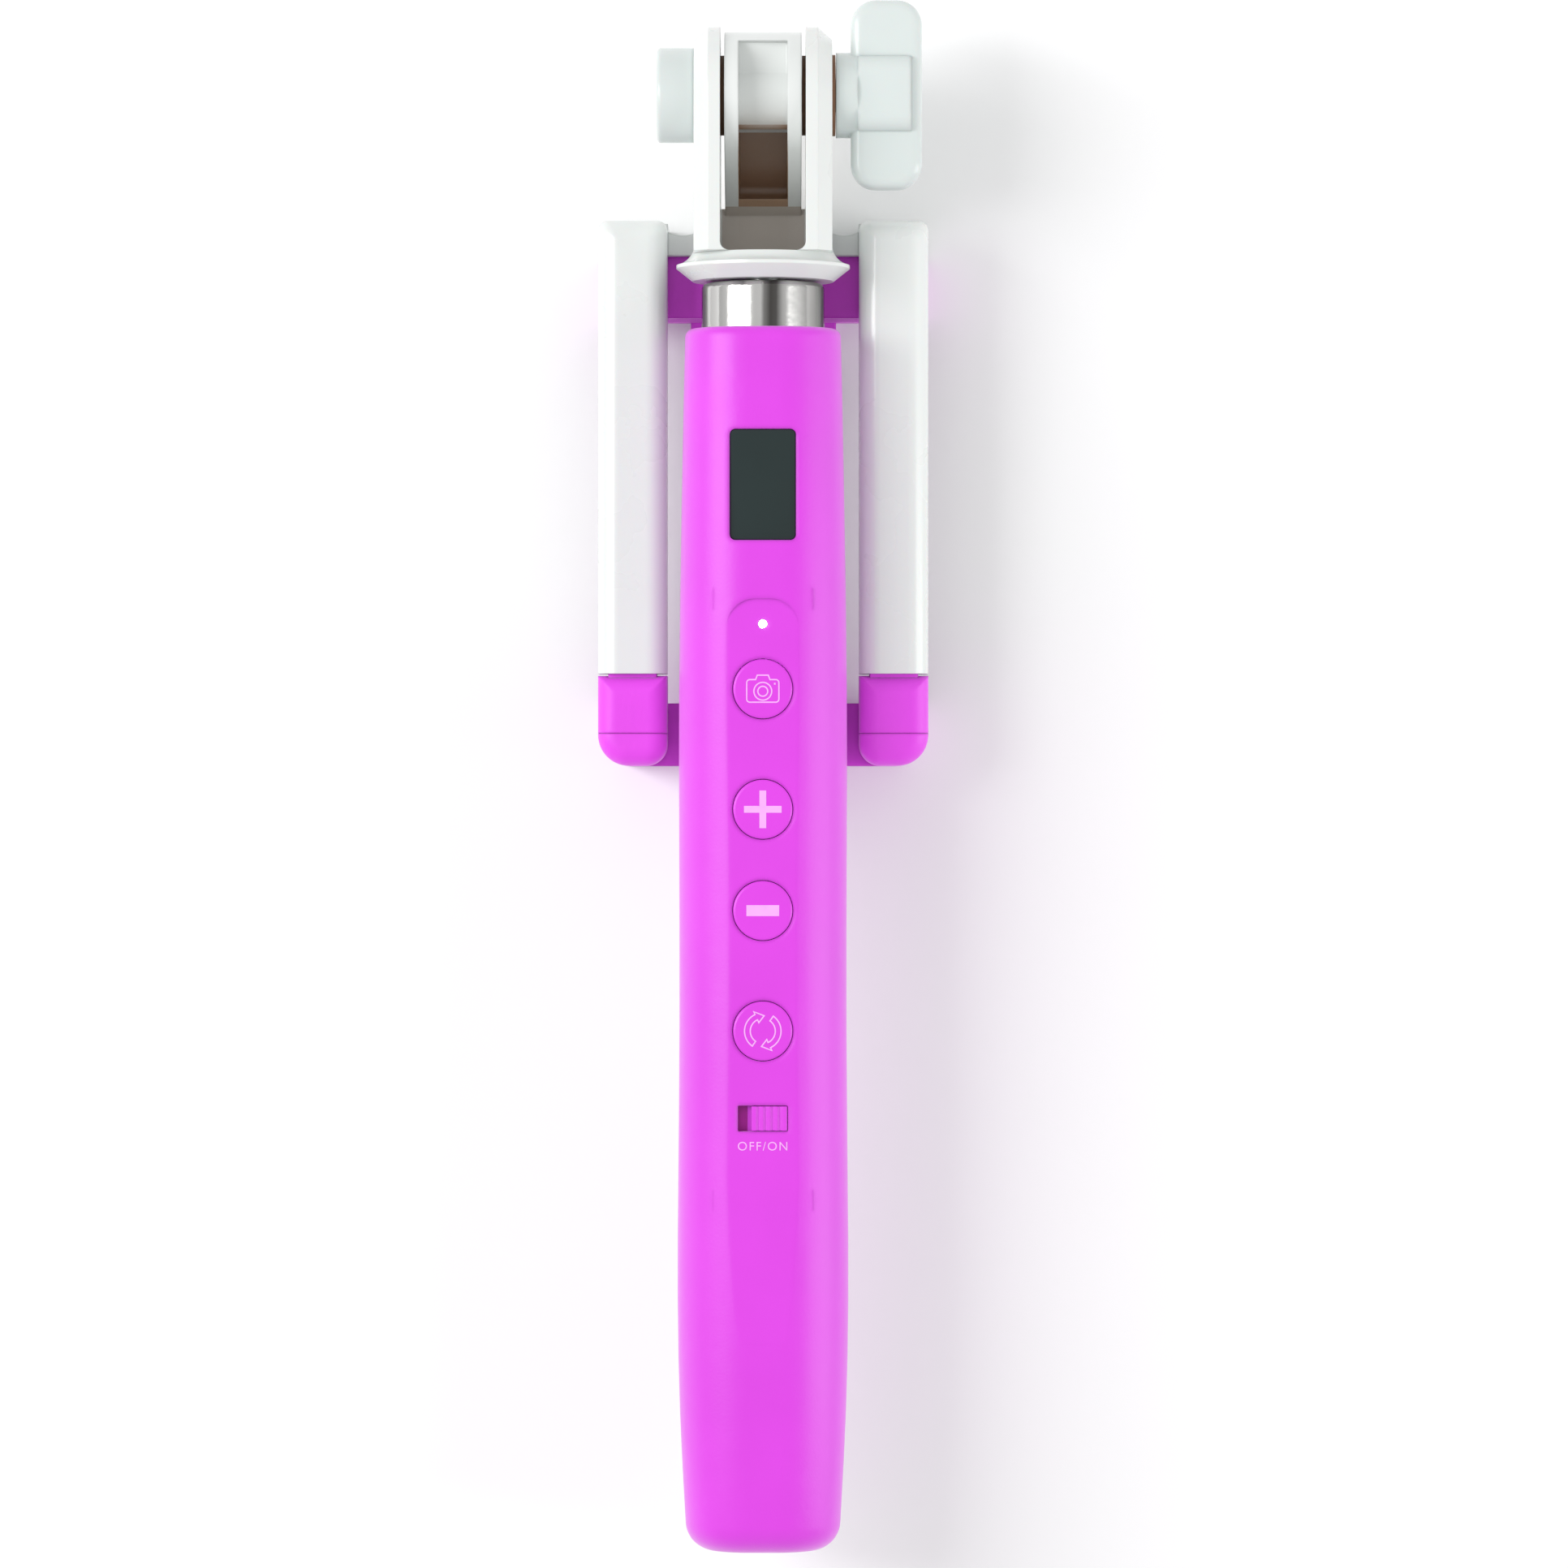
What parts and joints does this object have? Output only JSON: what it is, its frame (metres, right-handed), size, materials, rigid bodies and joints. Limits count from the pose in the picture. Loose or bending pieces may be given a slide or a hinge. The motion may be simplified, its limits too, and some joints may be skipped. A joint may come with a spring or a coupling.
{
  "type": "folding selfie stick",
  "caption": "Folding hand-held telescopic stick with a sprung phone clamp on a tilting fork, wing knob, push buttons on the handle and a slide switch.",
  "frame": {"origin": "middle of the bounding box's underside: the tube axis plane in X, mid length in Y, the surface it lies on in Z", "axes": "+Y along the stick from the handle's end to the clamp's tilt axis, +Z out of the button face, +X to the knob side"},
  "size_m": [0.0492, 0.2288, 0.0388],
  "materials": {
    "handle_pink": "soft-touch satin",
    "button_pink": "satin",
    "jaw_pink": "satin, slightly soft",
    "clamp_white": "semi-gloss",
    "knob_white": "semi-gloss",
    "outer_tube_chrome": "polished",
    "inner_tube_steel": "polished",
    "bush_grey": "matt",
    "hardware_steel": "zinc plated",
    "washer_brown": "matt fibre",
    "label_black": "gloss",
    "board_green": "solder mask",
    "chip_black": "matt",
    "socket_steel": "satin",
    "led_white": "clear, lit white",
    "battery_wrap": "satin pouch"
  },
  "bodies": {
    "handle": {"handle_front_shell": "handle_pink", "handle_rear_shell": "handle_pink", "shell_screws": "hardware_steel", "label_plate": "label_black", "circuit_board": "board_green", "tact_switches": "chip_black", "control_chip": "chip_black", "status_led": "led_white", "light_pipe": "led_white", "slide_switch_body": "chip_black", "battery": "battery_wrap", "charging_board": "board_green", "charging_socket": "socket_steel", "tube_1": "outer_tube_chrome", "tube_end_plug": "bush_grey"},
    "section_2": {"tube_2": "inner_tube_steel", "guide_bush_2": "bush_grey"},
    "section_3": {"tube_3": "inner_tube_steel", "guide_bush_3": "bush_grey"},
    "section_4": {"tube_4": "inner_tube_steel", "guide_bush_4": "bush_grey"},
    "section_5": {"tube_5": "inner_tube_steel", "guide_bush_5": "bush_grey"},
    "head": {"tube_6": "inner_tube_steel", "guide_bush_6": "bush_grey", "yoke": "clamp_white", "nut_cap": "knob_white", "pivot_nut": "hardware_steel", "pivot_bolt": "hardware_steel", "friction_washers": "washer_brown", "knob_washer": "washer_brown"},
    "clamp": {"clamp_frame": "clamp_white", "rail_cover_left": "clamp_white", "rail_cover_right": "clamp_white", "upper_jaw_pad": "jaw_pink", "jaw_springs": "hardware_steel"},
    "lower_jaw": {"lower_jaw": "jaw_pink", "jaw_cover_left": "jaw_pink", "jaw_cover_right": "jaw_pink"},
    "knob": {"wing_knob": "knob_white"},
    "shutter_button": {"shutter_button": "button_pink"},
    "zoom_in_button": {"zoom_in_button": "button_pink"},
    "zoom_out_button": {"zoom_out_button": "button_pink"},
    "flip_button": {"flip_button": "button_pink"},
    "slider": {"switch_slider": "button_pink"}
  },
  "joints": [
    {"name": "section_2_slide", "type": "slide", "parent": "handle", "child": "section_2", "axis": [0, 1, 0], "range_m": [0, 0.11]},
    {"name": "section_3_slide", "type": "slide", "parent": "section_2", "child": "section_3", "axis": [0, 1, 0], "range_m": [0, 0.11]},
    {"name": "section_4_slide", "type": "slide", "parent": "section_3", "child": "section_4", "axis": [0, 1, 0], "range_m": [0, 0.11]},
    {"name": "section_5_slide", "type": "slide", "parent": "section_4", "child": "section_5", "axis": [0, 1, 0], "range_m": [0, 0.11]},
    {"name": "head_slide", "type": "slide", "parent": "section_5", "child": "head", "axis": [0, 1, 0], "range_m": [0, 0.11]},
    {"name": "clamp_tilt", "type": "hinge", "parent": "head", "child": "clamp", "pos_m": [0, 0.1005, 0.0246], "axis": [1, 0, 0], "range_deg": [0, 270]},
    {"name": "jaw_slide", "type": "slide", "parent": "clamp", "child": "lower_jaw", "axis": [0, -1, 0], "range_m": [0, 0.028], "stiffness_N_per_m": 150, "springref_m": -0.02, "deforming": ["jaw_springs"]},
    {"name": "knob_turn", "type": "hinge", "parent": "head", "child": "knob", "pos_m": [0, 0.1005, 0.0246], "axis": [1, 0, 0], "range_deg": [0, 360]},
    {"name": "shutter_press", "type": "slide", "parent": "handle", "child": "shutter_button", "axis": [0, 0, -1], "range_m": [0, 0.0005], "stiffness_N_per_m": 3000},
    {"name": "zoom_in_press", "type": "slide", "parent": "handle", "child": "zoom_in_button", "axis": [0, 0, -1], "range_m": [0, 0.0005], "stiffness_N_per_m": 3000},
    {"name": "zoom_out_press", "type": "slide", "parent": "handle", "child": "zoom_out_button", "axis": [0, 0, -1], "range_m": [0, 0.0005], "stiffness_N_per_m": 3000},
    {"name": "flip_press", "type": "slide", "parent": "handle", "child": "flip_button", "axis": [0, 0, -1], "range_m": [0, 0.0005], "stiffness_N_per_m": 3000},
    {"name": "power_switch", "type": "slide", "parent": "handle", "child": "slider", "axis": [-1, 0, 0], "range_m": [0, 0.0019]}
  ]
}
